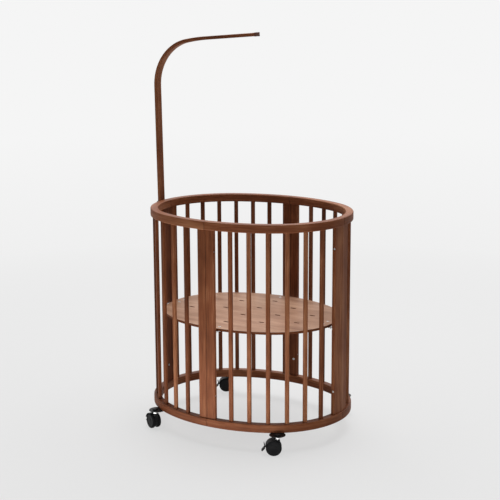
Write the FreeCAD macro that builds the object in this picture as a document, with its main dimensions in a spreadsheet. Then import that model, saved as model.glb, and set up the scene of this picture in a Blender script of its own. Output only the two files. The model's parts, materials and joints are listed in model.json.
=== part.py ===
import FreeCAD, Part
import math
import os
import re
import Sketcher
from FreeCAD import Placement, Rotation, Vector

# Baby crib: an oval cot of four bolted quarter panels on four braked casters, with a
# mattress base on angle brackets and a bentwood drape rod in a holder at the left end.
# Millimetres and degrees. The origin is on the floor under the middle of the oval, X runs
# along the oval, Z is up, and the side at -Y is the front.

sizes = {
    # oval of the rails: two end arcs and two side arcs that meet in line
    "halfLength": 411.0,
    "halfWidth": 334.0,
    "sideFlattening": 23.0,
    "railWidth": 30.0,
    "topRailTop": 874.0,
    "topRailHeight": 32.0,
    "topRailRound": 8.0,
    "topRailUnderRound": 4.0,
    "bottomRailFoot": 77.5,
    "bottomRailHeight": 31.5,
    "bottomRailRound": 5.0,
    "seamChamfer": 0.8,
    # upright boards beside each seam, and the slats between them
    "endBoardWidth": 49.0,
    "sideBoardWidth": 36.0,
    "boardThickness": 15.0,
    "boardRound": 2.5,
    "seamBevel": 1.5,
    "slatWidth": 16.0,
    "slatDepth": 12.5,
    "slatChamfer": 2.4,
    "tenonLength": 12.0,
    "tenonThickness": 8.0,
    "slatTenonWidth": 11.0,
    "tenonShoulder": 6.0,
    "jointClearance": 0.2,
    # bolts and sleeve nuts through the two boards of each seam
    "lowerBoltRise": 92.0,
    "upperBoltDrop": 82.0,
    "boltRadius": 3.0,
    "boltHeadRadius": 4.5,
    "boltHeadHeight": 3.0,
    "boltHeadDepth": 6.0,
    "sleeveRadius": 4.0,
    "sleeveLength": 20.0,
    "threadClearance": 0.05,
    "drillClearance": 0.2,
    # mattress base, its vent slots, brackets and screws
    "baseTop": 457.0,
    "baseThickness": 9.5,
    "baseInset": 48.7,
    "slotPitchLong": 121.0,
    "slotPitchWide": 124.0,
    "slotLength": 24.5,
    "slotRadius": 4.5,
    "baseScrewInset": 28.0,
    "lowerInsertRise": 71.0,
    "bracketThickness": 3.0,
    "bracketWidth": 22.0,
    "bracketDrop": 40.0,
    "bracketScrewDrop": 26.0,
    "bracketEnd": 10.0,
    "weldNutHalf": 5.5,
    "weldNutHeight": 6.0,
    "screwRadius": 3.0,
    "screwHeadRadius": 6.0,
    "screwHeadHeight": 3.0,
    "screwSeatDepth": 2.5,
    "sunkHeadHeight": 2.25,
    "slidingClearance": 0.1,
    "insertRadius": 4.5,
    "insertLength": 10.0,
    # bentwood drape rod, its tip sleeve and its holder
    "rodWidth": 33.0,
    "rodThickness": 13.5,
    "rodRound": 3.0,
    "rodSocketDrop": 24.0,
    "rodLean": 0.93,
    "rodStandoff": 9.6,
    "rodStraight": 516.0,
    "rodBendRadius": 180.0,
    "rodBendTurn": 79.9,
    "rodCrownRadius": 800.0,
    "rodCrownTurn": 6.6,
    "rodArm": 230.0,
    "capLength": 20.0,
    "capWall": 1.5,
    "capEnd": 2.0,
    "holderFloor": 6.0,
    "holderDrop": 8.0,
    "holderWall": 3.5,
    "holderGap": 1.0,
    "holderUnderRail": 2.0,
    "holderRound": 3.0,
    "earThickness": 5.0,
    "earReach": 36.0,
    "holderClearance": 0.15,
    "woodScrewRadius": 2.0,
    "woodScrewHead": 4.0,
    "woodScrewHeadHeight": 2.5,
    "holderScrewLength": 10.0,
    # casters, each in its own frame with the swivel axis upright at its origin
    "casterTurn": 56.7,
    "casterOutset": 18.6,
    "discRadius": 31.0,
    "discInset": 7.0,
    "discBevel": 1.0,
    "discRim": 2.5,
    "discFlat": 14.0,
    "flangeThickness": 3.5,
    "bossRadius": 11.0,
    "bossRise": 5.0,
    "bossBevel": 1.8,
    "hubDrop": 4.5,
    "flangeNear": 20.0,
    "flangeFar": 16.5,
    "flangeReach": 47.0,
    "casterScrewSpread": 11.0,
    "casterScrewLength": 15.0,
    "stemRadius": 4.0,
    "stemTop": 10.5,
    "stemFoot": 50.0,
    "collarRadius": 8.5,
    "collarFoot": 62.5,
    "swivelGap": 0.3,
    "wheelRadius": 30.0,
    "wheelWidth": 12.5,
    "wheelTrail": 14.0,
    "treadBevel": 3.4,
    "treadRing": 5.5,
    "wheelDish": 1.2,
    "axleRadius": 3.5,
    "axleEnd": 3.0,
    "webThickness": 12.0,
    "webRadius": 27.0,
    "wheelGap": 0.5,
    "hoodGap": 0.6,
    "hoodWall": 1.7,
    "hoodOverhang": 0.8,
    "hoodFront": 12.0,
    "hoodRear": 74.0,
    "neckHalf": 9.0,
    "pinClearance": 0.05,
    "leverPivotReach": 20.5,
    "leverPivotRise": 4.0,
    "leverPinRadius": 2.0,
    "leverRootThickness": 5.0,
    "leverRootHalf": 3.0,
    "leverWidth": 22.0,
    "leverThickness": 3.0,
    "leverHeadTurn": 64.0,
    "leverHeadLift": 7.5,
    "leverWaistTurn": 78.0,
    "leverWaistLift": 0.8,
    "leverHeelTurn": 94.0,
    "leverToeTurn": 106.0,
    "leverToeLift": 13.0,
    "leverClearance": 0.3,
}

document = FreeCAD.newDocument("BabyCrib")
sheet = document.addObject("Spreadsheet::Sheet", "Sizes")
derived = document.addObject("App::VarSet", "Derived")
homes = {}

for row, name in enumerate(sizes, start=1):
    sheet.set(f"A{row}", name)
    sheet.set(f"B{row}", str(sizes[name]))
    sheet.setAlias(f"B{row}", name)
    homes[name] = "Sizes"
document.recompute()


def linked(formula):
    """Formula with each named size written as a reference to its home."""
    def reference(match):
        word = match.group(0)
        return f"{homes[word]}.{word}" if word in homes else word
    return re.sub(r"[A-Za-z]\w*", reference, str(formula))


def bind(item, target, formula):
    item.setExpression(target, linked(formula))


def derive(name, formula):
    derived.addProperty("App::PropertyFloat", name)
    homes[name] = "Derived"
    bind(derived, name, formula)


def number(name):
    return getattr(derived if homes[name] == "Derived" else sheet, name)


derive("endRadius", "halfWidth - sideFlattening")
derive("endCentre", "halfLength - endRadius")
derive("sideRadius", "(endCentre ^ 2 + halfWidth ^ 2 - endRadius ^ 2) / (2 * sideFlattening)")
derive("sideCentre", "sideRadius - halfWidth")
derive("railTurn", "atan(sideCentre / endCentre) / 1 deg")
derive("endMiddle", "endRadius - railWidth / 2")
derive("sideMiddle", "sideRadius - railWidth / 2")
derive("endArc", "endMiddle * railTurn * pi / 180")
derive("sideArc", "sideMiddle * (90 - railTurn) * pi / 180")
derive("topRailFoot", "topRailTop - topRailHeight")
derive("bottomRailTop", "bottomRailFoot + bottomRailHeight")
derive("postHeight", "topRailFoot - bottomRailTop")
derive("upperBoltHeight", "topRailFoot - upperBoltDrop")
derive("lowerBoltHeight", "bottomRailTop + lowerBoltRise")
derive("lowerInsertHeight", "bottomRailTop + lowerInsertRise")
derive("baseFoot", "baseTop - baseThickness")
derive("bracketScrewHeight", "baseFoot - bracketScrewDrop")
derive("baseScrewReach", "baseInset + baseScrewInset - railWidth / 2 - boardThickness / 2")
derive("rodFoot", "topRailFoot - rodSocketDrop")
derive("holderTop", "topRailTop - holderDrop")
derive("holderFoot", "rodFoot - holderFloor")
derive("holderScrewHeight", "(holderFoot + topRailFoot - holderUnderRail) / 2")

# the board of each kind, turned square to its arc at its own middle
for kind in ("end", "side"):
    derive(f"{kind}Turn", f"atan({kind}BoardWidth / 2 / {kind}Middle) / 1 deg")
    derive(f"{kind}BoltLine", f"({kind}Middle - 0.7 * {kind}BoardWidth * sin({kind}Turn)) / cos({kind}Turn)")
    derive(f"{kind}FarEdge", f"({kind}BoardWidth / 2 + {kind}BoltLine * sin({kind}Turn)) / cos({kind}Turn)")
    derive(f"{kind}BoltSeat", f"{kind}FarEdge - boltHeadDepth")

# six slats a quarter, with the same gap from board to slat as from slat to slat
slatCount = 6
derive(
    "slatGap",
    f"(endArc + sideArc - endBoardWidth - sideBoardWidth - {slatCount} * slatWidth) / {slatCount + 1}",
)
for slat in range(slatCount):
    derive(f"slatArc{slat}", f"endBoardWidth + slatGap + slatWidth / 2 + {slat} * (slatGap + slatWidth)")
    derive(
        f"slatTurn{slat}",
        f"slatArc{slat} < endArc ? slatArc{slat} / endMiddle * 180 / pi"
        f" : railTurn + (slatArc{slat} - endArc) / sideMiddle * 180 / pi",
    )
    derive(
        f"slatX{slat}",
        f"slatArc{slat} < endArc ? endCentre + endMiddle * cos(slatTurn{slat})"
        f" : sideMiddle * cos(slatTurn{slat})",
    )
    derive(
        f"slatY{slat}",
        f"slatArc{slat} < endArc ? endMiddle * sin(slatTurn{slat})"
        f" : sideMiddle * sin(slatTurn{slat}) - sideCentre",
    )

derive("casterX", "endCentre + (endRadius + casterOutset) * cos(casterTurn)")
derive("casterY", "(endRadius + casterOutset) * sin(casterTurn)")
derive("plateFoot", "bottomRailFoot - flangeThickness")
derive("discFoot", "plateFoot - hubDrop")
derive("casterScrewReach", "casterOutset + railWidth / 2")
derive("hoodInner", "wheelRadius + hoodGap")
derive("hoodOuter", "hoodInner + hoodWall")
derive("wheelInner", "webThickness / 2 + wheelGap")
derive("wheelOuter", "wheelInner + wheelWidth")
derive("leverReach", "hoodOuter + leverWaistLift + leverThickness / 2 - leverPivotReach")
derive("rodTurn", "rodBendTurn + rodCrownTurn")
derive(
    "tipX",
    "rodBendRadius * (1 - cos(rodBendTurn)) + rodCrownRadius * (cos(rodBendTurn) - cos(rodTurn))"
    " + rodArm * sin(rodTurn)",
)
derive(
    "tipZ",
    "rodStraight + rodBendRadius * sin(rodBendTurn)"
    " + rodCrownRadius * (sin(rodTurn) - sin(rodBendTurn)) + rodArm * cos(rodTurn)",
)
derive("rodOffset", "halfLength + rodStandoff + rodThickness / 2")
document.recompute()


def newBody(label):
    body = document.addObject("PartDesign::Body", label)
    body.Label = label
    return body


def newSketch(body, role, name, offset="0"):
    """Sketch on one of the body's own planes: XY_Plane, XZ_Plane (normal -Y) or YZ_Plane."""
    sketch = body.newObject("Sketcher::SketchObject", name)
    plane = [feature for feature in body.Origin.OriginFeatures if feature.Role == role][0]
    sketch.AttachmentSupport = [(plane, "")]
    sketch.MapMode = "FlatFace"
    bind(sketch, ".AttachmentOffset.Base.z", offset)
    return sketch


def fixPoint(sketch, geometry, point, place):
    spot = sketch.getPoint(geometry, point)
    for kind, start, formula in (("DistanceX", spot.x, place[0]), ("DistanceY", spot.y, place[1])):
        index = sketch.addConstraint(Sketcher.Constraint(kind, -1, 1, geometry, point, start))
        bind(sketch, f"Constraints[{index}]", formula)


def polygon(sketch, corners):
    """Closed outline through corners given as pairs of formulas."""
    first = sketch.GeometryCount
    count = len(corners)
    ring = []
    for corner in range(count + 1):
        turn = 2 * math.pi * corner / count
        ring.append(Vector(10 * math.cos(turn), 10 * math.sin(turn), 0))
    sides = [Part.LineSegment(ring[side], ring[side + 1]) for side in range(count)]
    sketch.addGeometry(sides)
    joins = []
    for side in range(count):
        joins.append(Sketcher.Constraint("Coincident", first + side, 2, first + (side + 1) % count, 1))
    sketch.addConstraint(joins)
    for side in range(count):
        fixPoint(sketch, first + side, 1, corners[side])


def circle(sketch, x, y, radius):
    index = sketch.addGeometry(Part.Circle(Vector(0, 0, 0), Vector(0, 0, 1), 1.0))
    fixPoint(sketch, index, 3, (x, y))
    size = sketch.addConstraint(Sketcher.Constraint("Radius", index, 1.0))
    bind(sketch, f"Constraints[{size}]", radius)


def axisLine(sketch, start, end):
    """Construction line for a revolution: Axis0 of its sketch."""
    index = sketch.addGeometry(Part.LineSegment(Vector(0, 0, 0), Vector(0, 10, 0)), True)
    fixPoint(sketch, index, 1, start)
    fixPoint(sketch, index, 2, end)


def rectangle(x1, x2, y1, y2):
    return [(x1, y1), (x2, y1), (x2, y2), (x1, y2)]


def turnedRectangle(x, y, turn, x1, x2, y1, y2):
    """Rectangle in a frame at x, y that is turned by an angle."""
    corners = []
    for along, across in rectangle(x1, x2, y1, y2):
        corners.append((
            f"{x} + ({along}) * cos({turn}) - ({across}) * sin({turn})",
            f"{y} + ({along}) * sin({turn}) + ({across}) * cos({turn})",
        ))
    return corners


def easedRectangle(x1, x2, y1, y2, lowRound, lowSteps, highRound, highSteps):
    """Rectangle whose corners follow a quarter round in a few flats."""
    corners = []
    plans = (
        (x1, y1, 1, 1, 180, lowRound, lowSteps),
        (x2, y1, -1, 1, 270, lowRound, lowSteps),
        (x2, y2, -1, -1, 0, highRound, highSteps),
        (x1, y2, 1, -1, 90, highRound, highSteps),
    )
    for x, y, inX, inY, start, size, steps in plans:
        for step in range(steps + 1):
            turn = math.radians(start + 90 * step / steps)
            shareX = inX + math.cos(turn)
            shareY = inY + math.sin(turn)
            corners.append((f"{x} + {size} * ({shareX:.6f})", f"{y} + {size} * ({shareY:.6f})"))
    return corners


def mirrored(corners, side):
    return [(f"{side} * ({x})", y) for x, y in corners]


def addFeature(body, kind, name):
    return body.newObject(f"PartDesign::{kind}", name)


def pad(body, sketch, length, symmetric=False, reverse=False):
    feature = addFeature(body, "Pad", "Pad")
    feature.Profile = sketch
    bind(feature, "Length", length)
    feature.Reversed = reverse
    if symmetric:
        feature.SideType = "Symmetric"
    document.recompute()
    return feature


def pocket(body, sketch, depth, symmetric=False, reverse=False):
    before = body.Shape.Volume
    feature = addFeature(body, "Pocket", "Pocket")
    feature.Profile = sketch
    bind(feature, "Length", depth)
    feature.Reversed = reverse
    if symmetric:
        feature.SideType = "Symmetric"
    document.recompute()
    if body.Shape.Volume > before - 0.1:
        raise ValueError(f"{body.Label}: {sketch.Name} cuts nothing")
    return feature


def revolution(body, sketch, axis="V_Axis", turn="360", reverse=False):
    feature = addFeature(body, "Revolution", "Revolution")
    feature.Profile = sketch
    feature.ReferenceAxis = (sketch, [axis])
    bind(feature, "Angle", turn)
    feature.Reversed = reverse
    document.recompute()
    return feature


def bore(body, radius, length, place, direction):
    """Round cut from a place along a direction."""
    before = body.Shape.Volume
    feature = addFeature(body, "SubtractiveCylinder", "Bore")
    bind(feature, "Radius", radius)
    bind(feature, "Height", length)
    feature.Placement = Placement(place, Rotation(Vector(0, 0, 1), direction))
    document.recompute()
    if body.Shape.Volume > before - 0.1:
        raise ValueError(f"{body.Label}: a bore cuts nothing")
    return feature


def dressEdges(body, kind, size, wanted):
    """Fillet or Chamfer on the edges that a test picks."""
    base = body.Tip
    names = [f"Edge{index}" for index, edge in enumerate(base.Shape.Edges, start=1) if wanted(edge)]
    feature = addFeature(body, kind, kind)
    feature.Base = (base, names)
    bind(feature, "Radius" if kind == "Fillet" else "Size", size)
    document.recompute()
    return feature


def upright(edge):
    box = edge.BoundBox
    return box.XLength < 0.01 and box.YLength < 0.01 and box.ZLength > 0.01


def group(label, copies):
    """Separate solids of one kind in one sub-part."""
    feature = document.addObject("Part::Feature", label)
    feature.Label = label
    feature.Shape = Part.makeCompound([shape.copy().transformed(place.toMatrix()) for shape, place in copies])
    return feature


def about(angle, x=0.0, y=0.0, z=0.0):
    return Placement(Vector(x, y, z), Rotation(Vector(0, 0, 1), angle))


subParts = []

# quarters as name, side of X, side of Y; the seams by the angle at which they stand
quarters = (
    ("back_right", 1, 1),
    ("front_right", 1, -1),
    ("back_left", -1, 1),
    ("front_left", -1, -1),
)
seams = (
    ("end", 0, "back_right", "front_right"),
    ("side", 90, "back_left", "back_right"),
    ("end", 180, "front_left", "back_left"),
    ("side", 270, "front_right", "front_left"),
)


def seamFrame(kind, angle):
    """Frame at the centre of a seam's arc, X out through the seam."""
    if kind == "end":
        return about(angle, x=number("endCentre") * math.cos(math.radians(angle)))
    return about(angle, y=-number("sideCentre") * math.sin(math.radians(angle)))


# ---- rails ----
def railBody(label, side, foot, top, lowRound, lowSteps, highRound, highSteps):
    """Quarter of a rail in the first quadrant, or mirrored into the second."""
    body = newBody(label)
    endSection = newSketch(body, "XZ_Plane", "EndSection")
    section = easedRectangle(
        "halfLength - railWidth", "halfLength", foot, top, lowRound, lowSteps, highRound, highSteps
    )
    polygon(endSection, mirrored(section, side))
    axisLine(endSection, (f"{side} * endCentre", foot), (f"{side} * endCentre", top))
    revolution(body, endSection, "Axis0", "railTurn", side < 0)
    sideSection = newSketch(body, "YZ_Plane", "SideSection")
    section = easedRectangle(
        "halfWidth - railWidth", "halfWidth", foot, top, lowRound, lowSteps, highRound, highSteps
    )
    polygon(sideSection, section)
    axisLine(sideSection, ("-sideCentre", foot), ("-sideCentre", top))
    revolution(body, sideSection, "Axis0", "90 - railTurn", side > 0)

    def atSeam(edge):
        box = edge.BoundBox
        onEnd = abs(box.YMin) < 0.001 and box.YMax < 0.001
        onSide = max(abs(box.XMin), abs(box.XMax)) < 0.001
        return onEnd or onSide

    dressEdges(body, "Chamfer", "seamChamfer", atSeam)
    return body


def cutMortises(body, side, height, upward):
    """Mortises for the quarter's slats and its two boards."""
    sketch = newSketch(body, "XY_Plane", "Mortises", height)
    for slat in range(slatCount):
        corners = turnedRectangle(
            f"slatX{slat}", f"slatY{slat}", f"slatTurn{slat}",
            "-(tenonThickness / 2 + jointClearance)", "tenonThickness / 2 + jointClearance",
            "-(slatTenonWidth / 2 + jointClearance)", "slatTenonWidth / 2 + jointClearance",
        )
        polygon(sketch, mirrored(corners, side))
    arcs = (("end", "endCentre", "0", "endTurn"), ("side", "0", "-sideCentre", "90 - sideTurn"))
    for kind, x, y, turn in arcs:
        reach = f"{kind}BoardWidth / 2 - tenonShoulder + jointClearance"
        corners = turnedRectangle(
            x, y, f"({turn})",
            f"{kind}Middle - tenonThickness / 2 - jointClearance",
            f"{kind}Middle + tenonThickness / 2 + jointClearance",
            f"-({reach})", reach,
        )
        polygon(sketch, mirrored(corners, side))
    pocket(body, sketch, "tenonLength + jointClearance", reverse=upward)


for quarter, sideX, sideY in quarters:
    mirror = sideX * sideY
    topRail = railBody(
        f"top_rail_{quarter}", mirror, "topRailFoot", "topRailTop",
        "topRailUnderRound", 1, "topRailRound", 2,
    )
    cutMortises(topRail, mirror, "topRailFoot", True)
    bottomRail = railBody(
        f"bottom_rail_{quarter}", mirror, "bottomRailFoot", "bottomRailTop",
        "bottomRailRound", 1, "bottomRailRound", 2,
    )
    cutMortises(bottomRail, mirror, "bottomRailTop", False)
    pilots = newSketch(bottomRail, "XY_Plane", "CasterPilots", "bottomRailFoot")
    for hand in (-1, 1):
        x = f"casterX - casterScrewReach * cos(casterTurn) - {hand} * casterScrewSpread * sin(casterTurn)"
        y = f"casterY - casterScrewReach * sin(casterTurn) + {hand} * casterScrewSpread * cos(casterTurn)"
        circle(pilots, f"{mirror} * ({x})", y, "woodScrewRadius + threadClearance")
    pocket(bottomRail, pilots, "casterScrewLength + jointClearance", reverse=True)
    for rail in (topRail, bottomRail):
        rail.Placement = about(0 if sideY > 0 else 180)
        subParts.append(rail)


# ---- boards ----
def boardBody(label, kind, side, holdsHead, holdsRod):
    """Board in the frame of its own arc, X out through its middle; its seam edge is at -side * Y."""
    body = newBody(label)
    half = "boardThickness / 2"
    inner = f"{kind}Middle - {half}"
    outer = f"{kind}Middle + {half}"
    plan = newSketch(body, "XY_Plane", "Plan", "bottomRailTop")
    polygon(plan, [
        (outer, f"-{side} * ({outer}) * tan({kind}Turn)"),
        (outer, f"{side} * {kind}BoardWidth / 2"),
        (inner, f"{side} * {kind}BoardWidth / 2"),
        (inner, f"-{side} * ({inner}) * tan({kind}Turn)"),
    ])
    pad(body, plan, "postHeight")
    dressEdges(body, "Fillet", "boardRound", lambda edge: upright(edge) and edge.BoundBox.YMin * side > 0)
    middle = number(f"{kind}Middle")
    dressEdges(
        body, "Chamfer", "seamBevel",
        lambda edge: upright(edge) and edge.BoundBox.YMin * side < 0 and edge.BoundBox.XMin > middle,
    )
    reach = f"({kind}BoardWidth / 2 - tenonShoulder)"
    for height, down in (("bottomRailTop", True), ("topRailFoot", False)):
        tenon = newSketch(body, "XY_Plane", "Tenon", height)
        polygon(tenon, rectangle(
            f"{kind}Middle - tenonThickness / 2", f"{kind}Middle + tenonThickness / 2", f"-{reach}", reach
        ))
        pad(body, tenon, "tenonLength", reverse=down)
    holes = newSketch(body, "YZ_Plane", "FixingHoles", inner)
    circle(holes, "0", "lowerInsertHeight", "insertRadius + threadClearance")
    circle(holes, "0", "bracketScrewHeight", "screwRadius + threadClearance")
    pocket(body, holes, "insertLength + jointClearance", reverse=True)
    turn = math.radians(number(f"{kind}Turn"))
    away = Vector(math.sin(turn), side * math.cos(turn), 0)
    line = number(f"{kind}BoltLine")
    for height in ("lowerBoltHeight", "upperBoltHeight"):
        start = Vector(line * math.cos(turn), -side * line * math.sin(turn), number(height))
        bore(body, "boltRadius + drillClearance", f"{kind}BoardWidth * 1.5", start - away, away)
        seat = start + away * number(f"{kind}BoltSeat")
        bore(body, "boltHeadRadius + drillClearance", "boltHeadDepth * 2", seat, away)
        if not holdsHead:
            sleeve = seat - away * (number("sleeveLength") + number("jointClearance"))
            bore(body, "sleeveRadius + drillClearance", "sleeveLength + boltHeadDepth", sleeve, away)
    if holdsRod:
        mouth = Vector(number(f"{kind}Middle") + number("boardThickness") / 2, 0, number("holderScrewHeight"))
        outside = mouth + Vector(number("holderScrewLength"), 0, 0)
        bore(
            body, "woodScrewRadius + threadClearance", "2 * holderScrewLength + jointClearance",
            outside, Vector(-1, 0, 0),
        )
    return body


for kind, angle, leftQuarter, rightQuarter in seams:
    for side, quarter in ((1, leftQuarter), (-1, rightQuarter)):
        board = boardBody(f"{kind}_board_{quarter}", kind, side, side > 0, angle == 180)
        board.Placement = seamFrame(kind, angle) * about(side * number(f"{kind}Turn"))
        subParts.append(board)


# ---- slats ----
slat = newBody("SlatPattern")
section = newSketch(slat, "XY_Plane", "Section", "bottomRailTop")
polygon(section, rectangle("-slatDepth / 2", "slatDepth / 2", "-slatWidth / 2", "slatWidth / 2"))
pad(slat, section, "postHeight")
dressEdges(slat, "Chamfer", "slatChamfer", upright)
for height, down in (("bottomRailTop", True), ("topRailFoot", False)):
    tenon = newSketch(slat, "XY_Plane", "Tenon", height)
    polygon(tenon, rectangle(
        "-tenonThickness / 2", "tenonThickness / 2", "-slatTenonWidth / 2", "slatTenonWidth / 2"
    ))
    pad(slat, tenon, "tenonLength", reverse=down)

for quarter, sideX, sideY in quarters:
    copies = []
    for index in range(slatCount):
        turn = math.radians(number(f"slatTurn{index}"))
        angle = math.degrees(math.atan2(sideY * math.sin(turn), sideX * math.cos(turn)))
        place = about(angle, sideX * number(f"slatX{index}"), sideY * number(f"slatY{index}"))
        copies.append((slat.Shape, place))
    subParts.append(group(f"slats_{quarter}", copies))


# ---- panel bolts and sleeve nuts ----
def turnedBody(label, profile):
    """Body of revolution about Z from corners given as radius and height."""
    body = newBody(label)
    sketch = newSketch(body, "XZ_Plane", "Profile")
    polygon(sketch, profile)
    revolution(body, sketch)
    return body


def screwBody(label, radius, length, headRadius, headHeight):
    """Screw with its head seat at z = 0, the head above and the shank below."""
    return turnedBody(label, [
        ("0", f"-({length})"),
        (radius, f"-({length})"),
        (radius, "0"),
        (headRadius, "0"),
        (headRadius, headHeight),
        ("0", headHeight),
    ])


sleeveNut = turnedBody("SleeveNutPattern", [
    ("boltRadius + threadClearance", "-sleeveLength"),
    ("sleeveRadius", "-sleeveLength"),
    ("sleeveRadius", "0"),
    ("boltHeadRadius", "0"),
    ("boltHeadRadius", "boltHeadHeight"),
    ("0", "boltHeadHeight"),
    ("0", "0"),
    ("boltRadius + threadClearance", "0"),
])
bolts = {}
for kind in ("end", "side"):
    bolts[kind] = screwBody(
        f"{kind.title()}BoltPattern", "boltRadius", f"2 * {kind}BoltSeat - sleeveLength / 2",
        "boltHeadRadius", "boltHeadHeight",
    )
boltCopies = []
nutCopies = []
for kind, angle, leftQuarter, rightQuarter in seams:
    for height in ("lowerBoltHeight", "upperBoltHeight"):
        for side, shape, copies in ((1, bolts[kind].Shape, boltCopies), (-1, sleeveNut.Shape, nutCopies)):
            seat = Vector(number(f"{kind}BoltLine"), side * number(f"{kind}BoltSeat"), number(height))
            place = Placement(seat, Rotation(Vector(0, 0, 1), Vector(0, side, 0)))
            copies.append((shape, seamFrame(kind, angle) * place))
subParts.append(group("panel_bolts", boltCopies))
subParts.append(group("panel_sleeve_nuts", nutCopies))


# ---- mattress base ----
base = newBody("mattress_base")
oval = newSketch(base, "XY_Plane", "Oval", "baseFoot")
endCentre = number("endCentre")
sideCentre = number("sideCentre")
railTurn = math.radians(number("railTurn"))
endSpan = number("endRadius") - number("baseInset")
sideSpan = number("sideRadius") - number("baseInset")
arcPlans = (
    (Vector(endCentre, 0, 0), endSpan, -railTurn, railTurn),
    (Vector(0, -sideCentre, 0), sideSpan, railTurn, math.pi - railTurn),
    (Vector(-endCentre, 0, 0), endSpan, math.pi - railTurn, math.pi + railTurn),
    (Vector(0, sideCentre, 0), sideSpan, math.pi + railTurn, 2 * math.pi - railTurn),
)
for centre, radius, start, end in arcPlans:
    oval.addGeometry(Part.ArcOfCircle(Part.Circle(centre, Vector(0, 0, 1), radius), start, end))
for arc in range(4):
    oval.addConstraint(Sketcher.Constraint("Tangent", arc, 2, (arc + 1) % 4, 1))
for arc, side in ((0, 1), (2, -1)):
    fixPoint(oval, arc, 3, (f"{side} * endCentre", "0"))
    index = oval.addConstraint(Sketcher.Constraint("Radius", arc, endSpan))
    bind(oval, f"Constraints[{index}]", "endRadius - baseInset")
for arc, side in ((1, -1), (3, 1)):
    index = oval.addConstraint(Sketcher.Constraint("DistanceY", -1, 1, arc, 3, side * sideCentre))
    bind(oval, f"Constraints[{index}]", f"{side} * sideCentre")
pad(base, oval, "baseThickness")

# staggered vent slots, long way along X
slots = newSketch(base, "XY_Plane", "VentSlots", "baseTop")
for column in range(-2, 3):
    rows = (-0.5, 0.5) if abs(column) == 2 else (-1, 0, 1) if abs(column) == 1 else (-1.5, -0.5, 0.5, 1.5)
    for row in rows:
        first = slots.GeometryCount
        middle = Vector(column * number("slotPitchLong"), row * number("slotPitchWide"), 0)
        radius = number("slotRadius")
        half = Vector(number("slotLength") / 2 - radius, 0, 0)
        rise = Vector(0, radius, 0)
        upAxis = Vector(0, 0, 1)
        slots.addGeometry([
            Part.LineSegment(middle - half - rise, middle + half - rise),
            Part.ArcOfCircle(Part.Circle(middle + half, upAxis, radius), -math.pi / 2, math.pi / 2),
            Part.LineSegment(middle + half + rise, middle - half + rise),
            Part.ArcOfCircle(Part.Circle(middle - half, upAxis, radius), math.pi / 2, 3 * math.pi / 2),
        ])
        for side in range(4):
            following = first + (side + 1) % 4
            slots.addConstraint(Sketcher.Constraint("Tangent", first + side, 2, following, 1))
        for arc, sign in ((first + 1, 1), (first + 3, -1)):
            x = f"{column} * slotPitchLong + {sign} * (slotLength / 2 - slotRadius)"
            fixPoint(slots, arc, 3, (x, f"{row} * slotPitchWide"))
        index = slots.addConstraint(Sketcher.Constraint("Radius", first + 1, radius))
        bind(slots, f"Constraints[{index}]", "slotRadius")
pocket(base, slots, "baseThickness")

# seats of the fixings: the middle of each board's inner face, X outward
boardSeats = []
for kind, angle, leftQuarter, rightQuarter in seams:
    for side in (1, -1):
        face = number(f"{kind}Middle") - number("boardThickness") / 2
        boardSeats.append(seamFrame(kind, angle) * about(side * number(f"{kind}Turn")) * about(0, x=face))
screwReach = number("baseScrewReach")
for seat in boardSeats:
    place = seat.multVec(Vector(-screwReach, 0, number("baseTop")))
    bore(base, "screwRadius + drillClearance", "baseThickness + 1", place, Vector(0, 0, -1))
    bore(base, "screwHeadRadius + drillClearance", "screwSeatDepth", place, Vector(0, 0, -1))
subParts.append(base)

bracket = newBody("BracketPattern")
profile = newSketch(bracket, "XZ_Plane", "Angle")
legEnd = "-(baseScrewReach + bracketEnd)"
polygon(profile, [
    ("0", "baseFoot"),
    (legEnd, "baseFoot"),
    (legEnd, "baseFoot - bracketThickness"),
    ("-bracketThickness", "baseFoot - bracketThickness"),
    ("-bracketThickness", "baseFoot - bracketDrop"),
    ("0", "baseFoot - bracketDrop"),
])
pad(bracket, profile, "bracketWidth", symmetric=True)
dressEdges(
    bracket, "Chamfer", "bracketWidth / 5",
    lambda edge: upright(edge) and edge.BoundBox.XMax < -number("baseScrewReach"),
)
boss = newSketch(bracket, "XY_Plane", "WeldNut", "baseFoot - bracketThickness")
polygon(boss, [
    (
        f"-baseScrewReach + weldNutHalf / cos(30) * ({math.cos(math.radians(turn)):.6f})",
        f"weldNutHalf / cos(30) * ({math.sin(math.radians(turn)):.6f})",
    )
    for turn in range(30, 390, 60)
])
pad(bracket, boss, "weldNutHeight", reverse=True)
nutHole = newSketch(bracket, "XY_Plane", "NutHole", "baseFoot")
circle(nutHole, "-baseScrewReach", "0", "screwRadius + slidingClearance")
pocket(bracket, nutHole, "bracketThickness + weldNutHeight")
wallHole = newSketch(bracket, "YZ_Plane", "WallHole")
circle(wallHole, "0", "bracketScrewHeight", "screwRadius + drillClearance")
pocket(bracket, wallHole, "bracketThickness")
subParts.append(group("base_brackets", [(bracket.Shape, seat) for seat in boardSeats]))

baseScrew = screwBody(
    "BaseScrewPattern", "screwRadius", "baseThickness - screwSeatDepth + bracketThickness + weldNutHeight",
    "screwHeadRadius", "sunkHeadHeight",
)
screwCopies = []
screwSeat = number("baseTop") - number("screwSeatDepth")
for seat in boardSeats:
    screwCopies.append((baseScrew.Shape, seat * about(0, x=-screwReach, z=screwSeat)))
subParts.append(group("base_screws", screwCopies))

bracketScrew = screwBody(
    "BracketScrewPattern", "screwRadius", "bracketThickness + insertLength * 0.9",
    "screwHeadRadius", "screwHeadHeight",
)
inward = Rotation(Vector(0, 0, 1), Vector(-1, 0, 0))
screwCopies = []
for seat in boardSeats:
    head = Vector(-number("bracketThickness"), 0, number("bracketScrewHeight"))
    screwCopies.append((bracketScrew.Shape, seat * Placement(head, inward)))
subParts.append(group("bracket_screws", screwCopies))

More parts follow.
